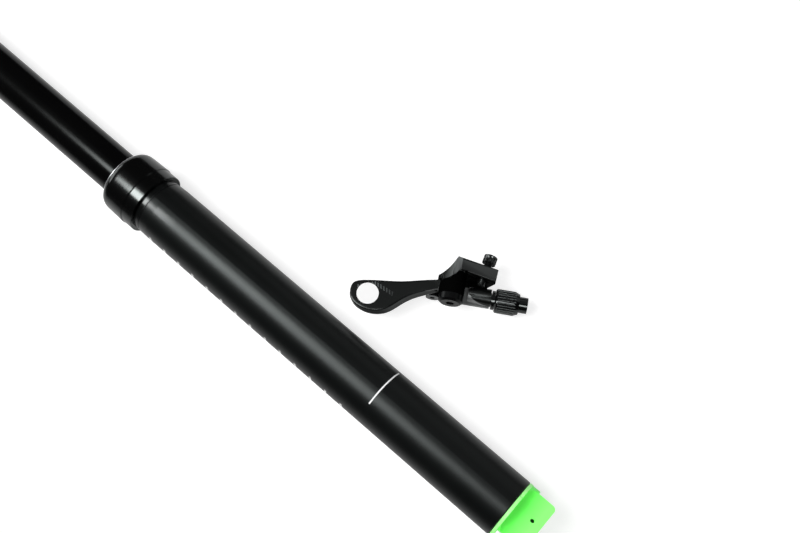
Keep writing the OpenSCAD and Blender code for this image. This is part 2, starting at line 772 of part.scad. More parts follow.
module remote_paddle() {
  reach = paddle_reach / 49.7;
  neck_start = [-30.5, -0.3] * reach;
  neck_end = [-8, 7];
  lug_r = anchor_d / 2;
  color(gloss_black) beside() difference() {
    union() {
      translate([0, 0, paddle_top - paddle_t]) linear_extrude(paddle_t) {
        scale(reach) hull() {
          translate([-45.1, -1.9]) circle(r = 3.8, $fn = 32);
          translate([-45.6, -7.5]) circle(r = 4.1, $fn = 32);
          translate([-37.2, -5.6]) circle(r = 6.3, $fn = 48);
          translate([-33.6, -4.7]) circle(r = 5.6, $fn = 48);
          translate([-33, -1]) circle(r = 4.8, $fn = 32);
        }
        link(neck_start, 4.3, neck_end, 2.4);
        scale(reach) polygon([[-32, -2], [-28.6, -7.4], [-27.6, -6], [-26.3, -4.6], [-24.7, -3.2],
          [-22.6, -1.9], [-24, 1]]);
        translate([neck_end[0], neck_end[1] - 2.4]) square([-neck_end[0], hub_end_y - neck_end[1] + 2.4]);
      }
      cross_bar(0, remote_pivot_h, hub_d / 2, hub_y, hub_end_y);
      slab(lug_y, hub_end_y) {
        translate([anchor_x, anchor_h]) circle(r = lug_r);
        translate([anchor_x - lug_r, anchor_h]) square([2 * lug_r, paddle_top - 1 - anchor_h]);
        translate([anchor_x, paddle_top - paddle_t]) square([-anchor_x, paddle_t]);
      }
    }
    cross_bar(0, remote_pivot_h, bearing_r + seat_fit, 0, block_y + 1);
    cross_bar(anchor_x, anchor_h, anchor_d * 0.28 + seat_fit, 0, block_y + 1);
  }
}

module remote_bearing() {
  color(key_brass) beside() difference() {
    cross_bar(0, remote_pivot_h, bearing_r, hub_y + 0.05, hub_end_y - 0.05);
    cross_bar(0, remote_pivot_h, pin_r + run_fit, 0, block_y + 1);
  }
}

module cable_anchor() {
  face_y = lug_y - 0.05;
  color(steel_grey) beside() difference() {
    union() {
      cross_bar(anchor_x, anchor_h, anchor_d / 2, face_y - anchor_head_h, face_y);
      cross_bar(anchor_x, anchor_h, anchor_d * 0.28, face_y - 1, hub_end_y - 0.1);
    }
    translate([anchor_x, face_y - anchor_head_h - 1, anchor_h]) rotate([-90, 0, 0])
      cylinder(d = anchor_d * 0.4, h = 2.4, $fn = 6);
  }
}

// A round bar along the cable's line, from x0 to x1
module cable_bar(r, x0, x1) {
  translate([x0, cable_y, cable_h]) rotate([0, 90, 0]) cylinder(r = r, h = x1 - x0);
}

module barrel_adjuster() {
  grip_r = adjuster_d / 2;
  grip_end = adjuster_x + adjuster_len;
  edge = 0.6;
  nose_len = 2.4;
  flute_r = 0.42;
  color(gloss_black) beside() difference() {
    union() {
      cable_bar(stem_r, arm_end - stem_len, adjuster_x + 1);
      translate([adjuster_x, cable_y, cable_h]) rotate([0, 90, 0]) rotate_extrude() polygon([
        [0, 0], [grip_r - edge, 0], [grip_r, edge], [grip_r, adjuster_len - nose_len],
        [adjuster_end_d / 2, adjuster_len], [0, adjuster_len]]);
    }
    cable_bar(housing_r * 0.5, 0, grip_end + 1);
    cable_bar(ferrule_spigot_r + seat_fit, grip_end - 5.6, grip_end + 1);
    for (i = [0:flutes - 1]) translate([0, cable_y, cable_h]) rotate([i * 360 / flutes, 0, 0])
      translate([adjuster_x + 2 * edge, 0, grip_r + 0.1]) rotate([0, 90, 0])
        cylinder(r = flute_r, h = adjuster_len - nose_len / 2 - 2 * edge);
  }
}

module adjuster_lock_ring() {
  color(matte_black) beside() difference() {
    cable_bar(lock_d / 2, lock_x, lock_x + lock_w);
    cable_bar(stem_r + seat_fit, 0, lock_x + lock_w + 1);
  }
}

module adjuster_ferrule() {
  color(gloss_black) beside() difference() {
    union() {
      cable_bar(ferrule_spigot_r, ferrule_x - 5.5, ferrule_x + 1);
      cable_bar(ferrule_d / 2, ferrule_x, ferrule_x + ferrule_len);
    }
    cable_bar(housing_r * 0.5, 0, ferrule_x + ferrule_len + 1);
    cable_bar(housing_r, ferrule_x - housing_seat, ferrule_x + ferrule_len + 1);
  }
}

lower_tube();
seal_collar();
wiper_seal();
upper_bushing();
foot_plug();
bump_ring();
cartridge_rod();
cartridge_piston();
rod_nut();
actuator_bracket();
actuator_pin();
stanchion();
lower_bushing();
key_pins();
cartridge_cylinder();
cartridge_seal_head();
cartridge_retainer();
cartridge_top_cap();
saddle_head();
rail_cradle_left();
rail_cradle_right();
rail_clamp_left();
rail_clamp_right();
clamp_bolt();
clamp_nut();
actuator_lever();
cable_barrel();
release_pin();
transport_cap();
remote_body();
remote_mount_bolt();
remote_pivot_bolt();
remote_paddle();
remote_bearing();
cable_anchor();
barrel_adjuster();
adjuster_lock_ring();
adjuster_ferrule();
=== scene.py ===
# %% [markdown]
# # A dropper seatpost and its thumb remote
# The object is a telescoping bicycle seatpost that lies on a white table, with its thumb remote
# beside it. Its solids come in as a fixed frame, in metres, with the post along X and the table
# just under it. Each step below adds a piece or a finish to them, and nothing in the frame is
# moved.

# %% Load the solids
import json
import math

import bmesh
import bpy
from mathutils import Matrix, Vector


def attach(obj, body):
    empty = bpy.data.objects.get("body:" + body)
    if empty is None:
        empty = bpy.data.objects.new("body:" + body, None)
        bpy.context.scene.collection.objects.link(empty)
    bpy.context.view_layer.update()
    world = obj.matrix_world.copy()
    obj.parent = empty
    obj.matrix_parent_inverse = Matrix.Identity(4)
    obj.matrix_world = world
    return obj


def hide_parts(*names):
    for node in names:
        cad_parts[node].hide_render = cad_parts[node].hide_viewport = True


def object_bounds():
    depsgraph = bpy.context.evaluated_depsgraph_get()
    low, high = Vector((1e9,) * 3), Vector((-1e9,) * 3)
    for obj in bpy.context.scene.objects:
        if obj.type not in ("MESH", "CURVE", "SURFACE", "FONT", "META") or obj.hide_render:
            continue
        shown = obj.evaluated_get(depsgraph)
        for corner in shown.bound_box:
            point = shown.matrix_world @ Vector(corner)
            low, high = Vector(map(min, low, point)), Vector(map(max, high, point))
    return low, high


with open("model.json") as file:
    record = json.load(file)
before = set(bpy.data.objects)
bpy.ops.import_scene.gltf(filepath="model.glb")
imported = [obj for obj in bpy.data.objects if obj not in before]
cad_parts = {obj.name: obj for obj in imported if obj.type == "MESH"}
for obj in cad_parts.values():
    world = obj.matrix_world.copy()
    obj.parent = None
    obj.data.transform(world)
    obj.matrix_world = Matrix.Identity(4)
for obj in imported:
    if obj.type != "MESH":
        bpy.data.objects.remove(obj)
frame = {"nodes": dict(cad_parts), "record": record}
cad_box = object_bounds()
nodes = frame["nodes"]

# %% [markdown]
# ## The camera
# The picture is taken from above, a little to one side, so the post runs from the top left to the
# bottom. A camera can be aimed with a Track To constraint, but its own axes say the same with
# nothing left to solve. So the right and up directions are written down, and their cross product
# points back at the viewer.

# %% Camera
eye = Vector((0.08796, -0.08629, 0.50595))
look_right = Vector((0.75294, 0.65812, 0.0))
look_up = Vector((-0.61604, 0.70483, 0.3518))
look_back = look_right.cross(look_up)
camera_turn = Matrix((look_right, look_up, look_back)).transposed().to_4x4()
camera_data = bpy.data.cameras.new("camera")
camera_data.sensor_width = 36
camera_data.lens = 48.4
camera_data.clip_start = 0.01
camera = bpy.data.objects.new("camera", camera_data)
camera.matrix_world = Matrix.Translation(eye) @ camera_turn
bpy.context.scene.collection.objects.link(camera)
bpy.context.scene.camera = camera
bpy.context.scene.view_settings.view_transform = "Standard"
print("camera", round(eye.length, 3), "m from the insertion line")

# %% [markdown]
# ## Writing finishes as sums
# A finish is a tree of shader nodes, and most of a tree is arithmetic on numbers that change over
# the surface. Dragging Math nodes together in the editor works, but it is hard to read back. Here
# one small class holds a socket, and Python's own operators add the Math nodes, so a mask reads as
# a sum. Every other node comes from one method: its type, then its settings, then its sockets. A
# surface may be mixed with soot, a black so dull that it sends back almost nothing.

# %% Signal and finish
class Signal:
    """A number that changes over a surface: one output socket of a node."""

    def __init__(self, finish, socket):
        self.finish = finish
        self.socket = socket

    def maths(self, operation, first, second=0.0):
        return self.finish.node("ShaderNodeMath", {"operation": operation}, {0: first, 1: second})

    def __add__(self, other):
        return self.maths("ADD", self, other)

    def __radd__(self, other):
        return self.maths("ADD", other, self)

    def __sub__(self, other):
        return self.maths("SUBTRACT", self, other)

    def __rsub__(self, other):
        return self.maths("SUBTRACT", other, self)

    def __mul__(self, other):
        return self.maths("MULTIPLY", self, other)

    def __rmul__(self, other):
        return self.maths("MULTIPLY", other, self)

    def __gt__(self, other):
        return self.maths("GREATER_THAN", self, other)

    def __lt__(self, other):
        return self.maths("LESS_THAN", self, other)

    def __abs__(self):
        return self.maths("ABSOLUTE", self)

    def part(self, name):
        return Signal(self.finish, self.socket.node.outputs[name])


class Finish:
    """A material that is built node by node."""

    def __init__(self, name):
        self.material = bpy.data.materials.new(name)
        self.material.use_nodes = True
        self.tree = self.material.node_tree
        self.tree.nodes.clear()

    def node(self, kind, settings=None, sockets=None, output=0):
        made = self.tree.nodes.new(kind)
        for key, value in (settings or {}).items():
            setattr(made, key, value)
        for key, value in (sockets or {}).items():
            if isinstance(value, Signal):
                self.tree.links.new(value.socket, made.inputs[key])
            else:
                made.inputs[key].default_value = value
        return Signal(self, made.outputs[output]) if made.outputs else None

    def place(self):
        return self.node("ShaderNodeTexCoord", output="Object")

    def axes(self):
        split = self.node("ShaderNodeSeparateXYZ", sockets={0: self.place()})
        return split.part("X"), split.part("Y"), split.part("Z")

    def noise(self, scale, stretch=(1, 1, 1), detail=3.0):
        spread = self.node("ShaderNodeMapping", {"vector_type": "POINT"},
                           {"Vector": self.place(), "Scale": [scale * side for side in stretch]})
        sockets = {"Vector": spread, "Scale": 1.0, "Detail": detail}
        return self.node("ShaderNodeTexNoise", None, sockets, "Fac")

    def least(self, first, second):
        return self.node("ShaderNodeMath", {"operation": "MINIMUM"}, {0: first, 1: second})

    def most(self, first, second):
        return self.node("ShaderNodeMath", {"operation": "MAXIMUM"}, {0: first, 1: second})

    def ramp(self, number, start, end):
        return self.least(self.most((number - start) * (1 / (end - start)), 0.0), 1.0)

    def between(self, number, low, high):
        return (number > low) * (number < high)

    def fraction(self, number):
        return self.node("ShaderNodeMath", {"operation": "FRACT"}, {0: number})

    def root(self, number):
        return self.node("ShaderNodeMath", {"operation": "SQRT"}, {0: number})

    def blend(self, share, first, second):
        return self.node("ShaderNodeMix", {"data_type": "RGBA"}, {0: share, 6: first, 7: second}, 2)

    def bump(self, height, depth, strength=1.0):
        sockets = {"Height": height, "Distance": depth, "Strength": strength}
        return self.node("ShaderNodeBump", None, sockets)

    def surface(self, dull=None, **sockets):
        plain = {key.replace("_", " "): value for key, value in sockets.items()}
        shader = self.node("ShaderNodeBsdfPrincipled", None, plain)
        if dull is not None:
            soot = self.node("ShaderNodeBsdfDiffuse", None, {"Color": grey(0.0015)})
            shader = self.node("ShaderNodeMixShader", None, {0: dull, 1: shader, 2: soot})
        self.node("ShaderNodeOutputMaterial", None, {"Surface": shader})
        print("finish", self.material.name, "with", len(self.tree.nodes), "nodes")
        return self.material


def tone(red, green, blue):
    return (red, green, blue, 1.0)


def grey(value):
    return tone(value, value, value)

# %% [markdown]
# ## The table
# The object lies on a seamless white table that comes out white in the picture, with only a soft
# shadow left. Turning the lamps up until the table clips would burn out the black parts as well. So
# the table is a grey matte sheet with a light of its own, which the camera sees in full and
# reflections in part. The post's near side mirrors the table in front of it, which was in the dark,
# so the sheet is dark there. Only the camera's share of the glow makes up for that, and it is full
# far away too, so that no horizon shows.

# %% Table
def new_piece(name, bm, smooth=True):
    mesh = bpy.data.meshes.new(name)
    bm.to_mesh(mesh)
    bm.free()
    if smooth:
        mesh.shade_smooth()
    made = bpy.data.objects.new(name, mesh)
    bpy.context.scene.collection.objects.link(made)
    return made


table_gap = 0.0001
table_reach = 40.0
table_z = cad_box[0][2] - table_gap
table_place = Matrix.Translation((0, 0, table_z))
bm = bmesh.new()
bmesh.ops.create_grid(bm, x_segments=2, y_segments=2, size=table_reach, matrix=table_place)
table = new_piece("table", bm, smooth=False)

near_glow = 0.72
mirror_glow = 0.18
dark_from = -0.03333
dark_full = -0.1
paper = Finish("white_table")
rays = paper.node("ShaderNodeLightPath", output="Is Camera Ray")
mirrored = rays.part("Is Glossy Ray") + rays.part("Is Transmission Ray")
along, across = paper.axes()[:2]
front = paper.ramp(across, dark_from, dark_full)
away = paper.ramp(paper.root(along * along + across * across), 0.5, 1.5)
pale = paper.blend(paper.noise(2.5), grey(0.50), grey(0.52))
sheet = paper.node("ShaderNodeBsdfDiffuse", None, {"Color": paper.blend(front, pale, grey(0.03))})
seen = near_glow + (1 - near_glow) * paper.most(front, away)
strength = rays * seen + mirror_glow * mirrored * (1 - front)
glow = paper.node("ShaderNodeEmission", None, {"Color": grey(1), "Strength": strength})
both = paper.node("ShaderNodeAddShader", None, {0: sheet, 1: glow})
paper.node("ShaderNodeOutputMaterial", None, {"Surface": both})
table.data.materials.append(paper.material)
print("table at", round(table_z, 4))

# %% [markdown]
# ## The lamps
# One large softbox hangs over the tube's near side and draws the broad streak along it. It ends a
# little past the collar, so the streak on the polished upper tube fades out towards the top left. A
# second, narrower one at that end makes the streak on the collar the brightest. One lamp could
# light the whole object, but a gloss black part only shows what it mirrors, so each further panel
# is placed where one part looks: a small one for the barrel adjuster, one at the far left for the
# remote's hollow flank, and weak ones overhead and behind that keep the flat tops and the far sides
# from going dead.

# %% Lamps
def softbox(name, width, depth, place, target, watts):
    lamp = bpy.data.lights.new(name, "AREA")
    lamp.shape = "ELLIPSE"
    lamp.size = width
    lamp.size_y = depth
    lamp.energy = watts
    made = bpy.data.objects.new(name, lamp)
    made.location = place
    aim = Vector(target) - Vector(place)
    made.rotation_euler = aim.to_track_quat("-Z", "Y").to_euler()
    bpy.context.scene.collection.objects.link(made)
    print("lamp", name, watts, "W")


softbox("key_softbox", 0.77, 0.72, (-0.42, -0.46, 1.0), (-0.365, -0.1, 0), 10.5)
softbox("hot_softbox", 0.26, 0.52, (-0.66, -0.50, 1.0), (-0.52, -0.1, 0), 4.0)
softbox("small_softbox", 0.26, 0.34, (0.30, -0.38, 1.0), (0, 0.07, 0), 2.6)
softbox("left_panel", 1.2, 0.55, (-1.5, -0.2, 0.32), (0, 0.07, 0), 5)
softbox("ceiling_panel", 0.8, 0.7, (-0.12, 0.45, 1.1), (0, 0.07, 0), 0.25)
softbox("back_panel", 1.6, 1.0, (0.1, 1.1, 0.7), (0, 0, 0), 1.5)
world = bpy.data.worlds.new("dim_room")
world.use_nodes = True
room = world.node_tree.nodes["Background"]
room.inputs["Color"].default_value = grey(1)
room.inputs["Strength"].default_value = 0.02
bpy.context.scene.world = world

# %% [markdown]
# ## The lower tube's finish
# The lower tube is aluminium with a matte black anodised skin, and white marks are printed on it.
# The marks could be thin strips of mesh, but print has no thickness, so they are masks in the
# finish. One long line says how far the tube has to be pushed in, and short ticks a centimetre
# apart run up its side. The ring under the collar is turned smoother than the tube, and the tube's
# end next to it is rubbed to a shine, so a thin clear coat is masked in that fades out down the
# tube.

# %% Tube finish
def tube_finish():
    skin_radius = 0.0152
    line_at = 0.0003
    line_half = 0.00037
    line_turn = (-0.54, 1.06)
    ticks_per_metre = 100
    tick_shift = 0.68
    tick_half = 0.07
    tick_turn = (-1.95, -1.40)
    tick_reach = (-0.143, -0.006)
    ring_end = -0.1512
    rubbed_from = -0.13103
    rubbed_full = -0.14828
    look = Finish("tube_black")
    along, side, height = look.axes()
    turn = look.node("ShaderNodeMath", {"operation": "ARCTAN2"}, {0: side, 1: height})
    outside = look.root(side * side + height * height) > skin_radius
    line = (abs(along - line_at) < line_half) * look.between(turn, *line_turn)
    step = look.fraction(along * ticks_per_metre + tick_shift)
    tick = (abs(step - 0.5) < tick_half) * look.between(turn, *tick_turn)
    tick = tick * look.between(along, *tick_reach)
    print_mask = look.most(line, tick) * outside
    ring = along < ring_end
    rubbed = look.ramp(along, rubbed_from, rubbed_full)
    cloud = look.noise(60)
    grain = look.noise(9000, detail=1.0)
    black = look.blend(cloud, tone(0.0025, 0.0028, 0.0028), tone(0.004, 0.0044, 0.0044))
    return look.surface(
        Base_Color=look.blend(print_mask, black, grey(0.92)),
        Roughness=0.30 + 0.05 * cloud + 0.15 * print_mask - 0.14 * ring,
        Coat_Weight=0.22 * rubbed,
        Coat_Roughness=0.10,
        Normal=look.bump(grain, 0.00002, 0.25),
        Specular_IOR_Level=0.275,
        Specular_Tint=tone(0.92, 1.0, 0.98))


tube_black = tube_finish()

# %% [markdown]
# ## The other black finishes
# Anodised aluminium is dyed in its own oxide, so it is dark with a clear gloss over it, and
# blackened steel is alike. How a part was made shows in the gloss: the collar was turned on a
# lathe, the upper tube polished, the head blasted. Each could have a tree of its own, but they
# differ in a few numbers only. So one function gives all of them, with lathe rings or blasted grain
# as a very shallow bump.

# %% Anodised finishes
gloss_tint = tone(0.93, 1.0, 0.98)


def anodised(name, dark, light, rough, rings=0.0, grain=0.0, gloss=0.5):
    cool = 1.06
    look = Finish(name)
    cloud = look.noise(45)
    relief = look.noise(1.0, (9000, 120, 120), 2.0) if rings else look.noise(7000, detail=1.0)
    depth = rings or grain
    return look.surface(
        Base_Color=look.blend(cloud, tone(dark, dark, dark * cool), tone(light, light, light * cool)),
        Roughness=rough + 0.05 * cloud,
        Normal=look.bump(relief, depth, 0.3),
        Specular_IOR_Level=gloss,
        Specular_Tint=gloss_tint)


collar_black = anodised("collar_black", 0.001, 0.0015, 0.13, rings=0.000003, gloss=0.6)
stanchion_black = anodised("stanchion_black", 0.001, 0.002, 0.14, rings=0.0000015, gloss=0.165)
head_black = anodised("head_black", 0.003, 0.005, 0.34, grain=0.00002)
actuator_black = anodised("actuator_black", 0.003, 0.005, 0.30, grain=0.00001)
remote_black = anodised("remote_black", 0.002, 0.004, 0.24, grain=0.000004, gloss=1.0)
adjuster_black = anodised("adjuster_black", 0.001, 0.002, 0.14, rings=0.000003, gloss=0.6)
black_steel = anodised("black_steel", 0.002, 0.004, 0.22, rings=0.000005, gloss=1.0)
pivot_steel = anodised("pivot_steel", 0.002, 0.003, 0.25, rings=0.000005, gloss=0.15)

# %% [markdown]
# ## Bare metals
# The fittings inside the post are bare: turned alloy, steel and brass. A metal has no colour under
# its gloss, so Metallic is 1 and the colour tints the reflection. A picture of turned metal could
# be wrapped round them, but stretched noise gives the lathe's rings at any size. The rings change
# the roughness a little along the axis, which keeps the shine from looking like a mirror.

# %% Metal finishes
def turned_metal(name, colour, rough):
    wear = 0.86
    look = Finish(name)
    rings = look.noise(1.0, (6000, 90, 90), 2.0)
    stain = look.noise(70)
    wear_and_painted_sheen = [channel * wear for channel in colour]
    return look.surface(
        Base_Color=look.blend(stain, tone(*colour), tone(*wear_and_painted_sheen)),
        Metallic=1.0,
        Roughness=rough + 0.12 * rings,
        Normal=look.bump(rings, 0.000006, 0.35))


bare_alloy = turned_metal("bare_alloy", (0.74, 0.75, 0.77), 0.24)
steel_fittings = turned_metal("steel_fittings", (0.22, 0.22, 0.23), 0.22)
brass_fittings = turned_metal("brass_fittings", (0.78, 0.56, 0.24), 0.22)

# %% [markdown]
# ## Rubber, bearing polymer and the green cap
# The wiper and the bump stop are dull rubber, and the bearings are grey polymer with a fine cast grain.
# The transport cap is a fluorescent moulding: its dye sends back more light than falls on it in that
# colour. Ultraviolet light on a dye can't be rendered here, so a faint light of its own stands in for
# it, over a soft plastic that lets some light through. The flange is the palest. Next to it, the tongue
# is painted a deeper green as painted shade from the flange, and this fades to the paler green further
# out, so the green changes along the axis.

# %% Plastic finishes
def moulded(name, first, second, rough, grain, scale):
    look = Finish(name)
    cloud = look.noise(scale)
    speck = look.noise(scale * 60, detail=1.0)
    return look.surface(
        Base_Color=look.blend(cloud, tone(*first), tone(*second)),
        Roughness=rough + 0.1 * speck,
        Normal=look.bump(speck, grain, 0.4))


seal_rubber = moulded("seal_rubber", (0.010, 0.010, 0.010), (0.018, 0.018, 0.017), 0.55, 0.00003, 80)
bush_polymer = moulded("bush_polymer", (0.20, 0.21, 0.22), (0.26, 0.27, 0.28), 0.45, 0.00002, 90)


def fluorescent_cap():
    flange_end = 0.0816
    flange_shade_to = 0.0850
    flange_shade_gone = 0.09333
    look = Finish("cap_green")
    cloud = look.noise(35)
    speck = look.noise(3000, detail=1.0)
    along = look.axes()[0]
    fade = look.ramp(along, flange_shade_to, flange_shade_gone)
    pale = look.blend(cloud, tone(0.23, 0.90, 0.17), tone(0.27, 0.94, 0.20))
    # Next to the flange the tongue is painted a deeper green as painted shade from the flange, fading to
    # the paler green further out.
    tongue = look.blend(fade, tone(0.125, 0.90, 0.095), pale)
    green = look.blend(along < flange_end, tongue, tone(0.35, 0.94, 0.28))
    return look.surface(
        Base_Color=green,
        Roughness=0.32 + 0.08 * speck,
        Normal=look.bump(speck, 0.00001, 0.3),
        Subsurface_Weight=0.3,
        Subsurface_Radius=(0.2, 1.0, 0.2),
        Subsurface_Scale=0.003,
        Emission_Color=green,
        Emission_Strength=0.35)


cap_green = fluorescent_cap()

# %% [markdown]
# ## Giving every solid its finish
# The finishes could be assigned solid by solid, but the record already names a material slot for
# each. So they are handed out by those names. Only the pivot bolt is duller than the other
# blackened steel.

# %% Hand out the finishes
finishes = {
    "tube_black": tube_black, "collar_black": collar_black, "stanchion_black": stanchion_black,
    "seal_rubber": seal_rubber, "bush_polymer": bush_polymer, "brass_fittings": brass_fittings,
    "bare_alloy": bare_alloy, "steel_fittings": steel_fittings, "black_steel": black_steel,
    "actuator_black": actuator_black, "head_black": head_black, "cap_green": cap_green,
    "remote_black": remote_black, "adjuster_black": adjuster_black,
}
slot_of = {}
for row in frame["record"]["subparts"]:
    slot_of[row["node"]] = row["material_slot"]
for name, solid in nodes.items():
    solid.data.materials.clear()
    solid.data.materials.append(finishes[slot_of[name]])
nodes["remote_pivot_bolt"].data.materials[0] = pivot_steel
print("finished", len(slot_of), "solids")

# %% [markdown]
# ## Easing sharp edges
# No machined or moulded edge is perfectly sharp, and the thin bright line along an edge is light on
# its rounding. A Bevel modifier would round every edge of a solid alike, so the edges are picked by
# a test and bevelled in bmesh. The copy of the solid is merged first, because its triangles come in
# unjoined. Faces that were flat stay flat, so that only the roundings and the curved walls are
# shaded smoothly.

# %% Eased copies
weld = 0.000002
least_bend = 0.02
most_bend = 0.45
sharp_edge = 0.6
sharp_shade = 0.7


def merged_copy(node):
    solid = nodes[node]
    bm = bmesh.new()
    bm.from_mesh(solid.data)
    bm.transform(solid.matrix_world)
    bmesh.ops.remove_doubles(bm, verts=bm.verts, dist=weld)
    bmesh.ops.dissolve_limit(bm, angle_limit=0.01, verts=bm.verts, edges=bm.edges)
    bmesh.ops.recalc_face_normals(bm, faces=bm.faces)
    for face in bm.faces:
        face.smooth = any(least_bend < edge.calc_face_angle(0.0) < most_bend for edge in face.edges)
    return bm


def ease(bm, width, segments, wanted):
    edges = [edge for edge in bm.edges if edge.calc_face_angle(0.0) > sharp_edge and wanted(edge)]
    made = bmesh.ops.bevel(bm, geom=edges, offset=width, offset_type="OFFSET", segments=segments,
                           profile=0.5, affect="EDGES", material=-1, clamp_overlap=True)
    for face in made["faces"]:
        face.smooth = True
    return len(edges)


def stand_in(bm, name, node, body, finish):
    piece = new_piece(name, bm, smooth=False)
    piece.data.set_sharp_from_angle(angle=sharp_shade)
    piece.data.materials.append(finish)
    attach(piece, body)
    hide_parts(node)
    print("piece", name, "with", len(piece.data.polygons), "faces")

# %% [markdown]
# ## The paddle's finish
# The thumb paddle is a milled bar with a white disc let into its pad, and fine grooves beside the disc
# for grip. The disc and the grooves could be cut into the mesh, but they are shallower than a hair is
# thick. So they are masks in the finish, measured in the remote's own axes. The grooves follow two
# straight tracks that meet in a crest. Their lands are painted a lighter grey as a painted glint, which
# fades along the second track. The hub round the pivot is mixed with soot, a dull black that sends back
# almost nothing.

# %% Paddle finish
remote_turn = math.radians(31)
remote_spot = Vector((-0.007, 0.0605, cad_box[0][2]))
remote_place = Matrix.Translation(remote_spot) @ Matrix.Rotation(remote_turn, 4, "Z")
milled_dark = tone(0.002, 0.0022, 0.0022)
milled_light = tone(0.004, 0.0043, 0.0043)


def remote_axes(look):
    turned = look.node("ShaderNodeMapping", {"vector_type": "TEXTURE"}, {
        "Vector": look.place(), "Location": remote_spot, "Rotation": (0, 0, remote_turn)})
    split = look.node("ShaderNodeSeparateXYZ", sockets={0: turned})
    return split.part("X"), split.part("Y"), split.part("Z")


def paddle_finish():
    disc_x = -0.0412
    disc_y = -0.0040
    disc_radius = 0.00555
    grip_from_disc = 0.0058
    grip_half = 0.0010
    grip_reach = (-0.0474, -0.0288)
    crest_x = -0.0382
    crest_y = 0.0019
    first_slope = 0.36
    second_slope = 0.43
    grooves_along = 690
    grooves_across = 127
    brightest = 0.9
    glint_fade_per_metre = 70
    top_from = 0.0163
    hub_from = -0.0066
    look = Finish("paddle_black")
    along, side, height = remote_axes(look)
    off_x = along - disc_x
    off_y = side - disc_y
    off_disc = look.root(off_x * off_x + off_y * off_y)
    top = height > top_from
    disc = (off_disc < disc_radius) * top
    crest = along - crest_x
    track = look.least(crest_y + first_slope * crest, crest_y - second_slope * crest)
    groove = look.fraction(along * grooves_along + side * grooves_across)
    grip = (abs(side - track) < grip_half) * look.between(along, *grip_reach)
    milled = grip * (off_disc > grip_from_disc) * top
    # The groove lands are painted a lighter grey as a painted glint, brightest at the crest and fading
    # along the second track.
    shine = milled * (groove > 0.5) * (brightest - glint_fade_per_metre * look.most(crest, 0.0))
    cloud = look.noise(45)
    black = look.blend(cloud, milled_dark, milled_light)
    # This blends the painted glint into the milled black.
    cut = look.blend(shine, black, tone(0.10, 0.11, 0.11))
    return look.surface(
        dull=along > hub_from,
        Base_Color=look.blend(disc, cut, grey(0.92)),
        Roughness=0.24 + 0.05 * cloud + 0.2 * disc,
        Normal=look.bump(groove * milled, 0.00006, 0.5),
        Specular_IOR_Level=0.5,
        Specular_Tint=gloss_tint)


paddle_black = paddle_finish()

# %% [markdown]
# ## The paddle's hub
# The hub end of the paddle is the solid's own shape: the barrel round the pivot and the lug that
# holds the cable. A boolean could take the blade off it, but one straight cut does the same, and
# the open end is filled again. A second, slanted cut takes the lug's far corner back to the line of
# the neck.

# %% Hub
def cut_away(bm, point, outward):
    geometry = bm.verts[:] + bm.edges[:] + bm.faces[:]
    direction = remote_place.to_3x3() @ Vector(outward)
    bmesh.ops.bisect_plane(bm, geom=geometry, plane_co=remote_place @ Vector(point), plane_no=direction,
                           clear_outer=True)
    bmesh.ops.holes_fill(bm, edges=[edge for edge in bm.edges if edge.is_boundary], sides=0)


blade_cut = (-0.0131, 0, 0)
lug_cut = (-0.0129, 0.0080, 0)
bm = merged_copy("remote_paddle")
cut_away(bm, blade_cut, (-1, 0, 0))
cut_away(bm, lug_cut, (-0.26, 0.96, 0))
stand_in(bm, "paddle_hub", "remote_paddle", "remote_lever", paddle_black)

# %% [markdown]
# ## The paddle's blade
# The blade was milled along a free curve that swells into the pad, and its upper edge is a round
# shoulder. Its outline could be a Bezier curve, but a Subdivision Surface makes one from a few
# points, and rounds the rest too. A ring of faces near an edge holds that edge tighter: wide rings
# at the top for the shoulder, a narrow one below. The top is pushed a little to the far side, so
# that the near wall leans and shows more of itself from above.

# %% Blade
outline_mm = [
    (-50.3, -4.4), (-50.0, -6.6), (-48.5, -9.0), (-45.6, -10.9), (-42.2, -12.1), (-38.6, -12.5),
    (-35.2, -12.1), (-32.0, -11.1), (-29.2, -9.3), (-26.6, -6.9), (-24.2, -4.5), (-21.4, -2.2),
    (-18.3, -0.2), (-14.6, 1.6), (-10.8, 3.4), (-7.6, 4.8), (-6.6, 7.0), (-7.6, 9.6), (-12.0, 8.8),
    (-16.0, 7.8), (-20.0, 6.8), (-24.0, 5.8), (-28.0, 5.1), (-32.0, 4.6), (-36.0, 4.2), (-40.0, 3.7),
    (-43.6, 3.1), (-47.0, 2.4), (-49.7, 0.9), (-50.5, -1.8)]
blade_top = 0.01652
blade_thick = 0.0042
blade_lean = Vector((-0.0010, 0.0009, 0))
shoulder_down = 0.0012
shoulder_in = 0.0016
lip_in = 0.0001
foot_in = 0.0004
bm = bmesh.new()
corners = [bm.verts.new((x / 1000, y / 1000, blade_top - blade_thick)) for x, y in outline_mm]
bmesh.ops.translate(bm, verts=corners, vec=-blade_lean)
floor_face = bm.faces.new(corners)
raised = bmesh.ops.extrude_face_region(bm, geom=[floor_face], use_keep_orig=True)
lifted = [item for item in raised["geom"] if isinstance(item, bmesh.types.BMVert)]
bmesh.ops.translate(bm, verts=lifted, vec=blade_lean + Vector((0, 0, blade_thick)))
bmesh.ops.recalc_face_normals(bm, faces=bm.faces)
top_face = max(bm.faces, key=lambda face: face.calc_center_median().z)
bmesh.ops.translate(bm, verts=top_face.verts, vec=(0, 0, -shoulder_down))
bmesh.ops.inset_region(bm, faces=[top_face], thickness=lip_in, depth=shoulder_down, use_even_offset=True)
bmesh.ops.inset_region(bm, faces=[top_face], thickness=shoulder_in, depth=0, use_even_offset=True)
bmesh.ops.inset_region(bm, faces=[floor_face], thickness=foot_in, depth=0, use_even_offset=True)
bm.transform(remote_place)
blade = new_piece("paddle_blade", bm)
rounding = blade.modifiers.new("rounding", "SUBSURF")
rounding.levels = 2
rounding.render_levels = 2
blade.data.materials.append(paddle_black)
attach(blade, "remote_lever")
print("blade from", len(outline_mm), "points")
